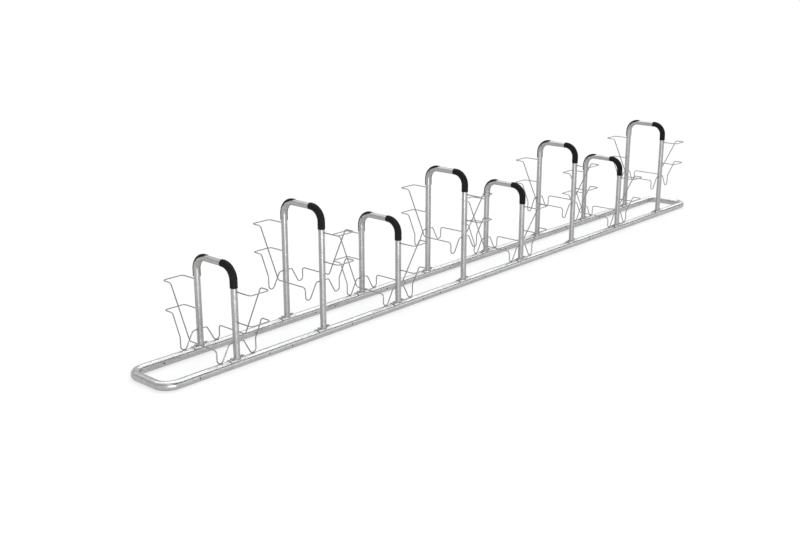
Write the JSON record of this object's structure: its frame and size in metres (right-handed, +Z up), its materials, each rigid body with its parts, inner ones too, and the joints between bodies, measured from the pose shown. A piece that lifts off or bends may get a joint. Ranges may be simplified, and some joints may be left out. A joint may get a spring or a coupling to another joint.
{
  "type": "two tier bicycle rack",
  "caption": "Free-standing two tier bicycle rack: low and high steel hoops bolted on a closed tube base, with bent-wire wheel holders on both sides and rubber bumpers.",
  "frame": {"origin": "on the ground at the middle of the rack's length and width", "axes": "+X along the rack towards its right end, where the last high hoop stands, +Y across it to the rear, +Z up"},
  "size_m": [6.4004, 0.6676, 0.9088],
  "materials": {
    "galvanised_tube": "hot-dip galvanised tube, smooth and satin bright",
    "galvanised_wire": "hot-dip galvanised round wire, a little duller than the tube",
    "black_rubber": "black moulded rubber with a low sheen"
  },
  "bodies": {
    "root": {"base_frame_left": "galvanised_tube", "base_frame_right": "galvanised_tube", "hoop_1": "galvanised_tube", "bumper_1_rear": "black_rubber", "bumper_1_front": "black_rubber", "upper_wire_1_left": "galvanised_wire", "lower_wire_1_left": "galvanised_wire", "upper_wire_1_right": "galvanised_wire", "lower_wire_1_right": "galvanised_wire", "hoop_2": "galvanised_tube", "bumper_2_rear": "black_rubber", "bumper_2_front": "black_rubber", "upper_wire_2_left": "galvanised_wire", "lower_wire_2_left": "galvanised_wire", "upper_wire_2_right": "galvanised_wire", "lower_wire_2_right": "galvanised_wire", "hoop_3": "galvanised_tube", "bumper_3_rear": "black_rubber", "bumper_3_front": "black_rubber", "upper_wire_3_left": "galvanised_wire", "lower_wire_3_left": "galvanised_wire", "upper_wire_3_right": "galvanised_wire", "lower_wire_3_right": "galvanised_wire", "hoop_4": "galvanised_tube", "bumper_4_rear": "black_rubber", "bumper_4_front": "black_rubber", "upper_wire_4_left": "galvanised_wire", "lower_wire_4_left": "galvanised_wire", "upper_wire_4_right": "galvanised_wire", "lower_wire_4_right": "galvanised_wire", "hoop_5": "galvanised_tube", "bumper_5_rear": "black_rubber", "bumper_5_front": "black_rubber", "upper_wire_5_left": "galvanised_wire", "lower_wire_5_left": "galvanised_wire", "upper_wire_5_right": "galvanised_wire", "lower_wire_5_right": "galvanised_wire", "hoop_6": "galvanised_tube", "bumper_6_rear": "black_rubber", "bumper_6_front": "black_rubber", "upper_wire_6_left": "galvanised_wire", "lower_wire_6_left": "galvanised_wire", "upper_wire_6_right": "galvanised_wire", "lower_wire_6_right": "galvanised_wire", "hoop_7": "galvanised_tube", "bumper_7_rear": "black_rubber", "bumper_7_front": "black_rubber", "upper_wire_7_left": "galvanised_wire", "lower_wire_7_left": "galvanised_wire", "upper_wire_7_right": "galvanised_wire", "lower_wire_7_right": "galvanised_wire", "hoop_8": "galvanised_tube", "bumper_8_rear": "black_rubber", "bumper_8_front": "black_rubber", "upper_wire_8_left": "galvanised_wire", "lower_wire_8_left": "galvanised_wire", "upper_wire_8_right": "galvanised_wire", "lower_wire_8_right": "galvanised_wire"}
  },
  "joints": []
}
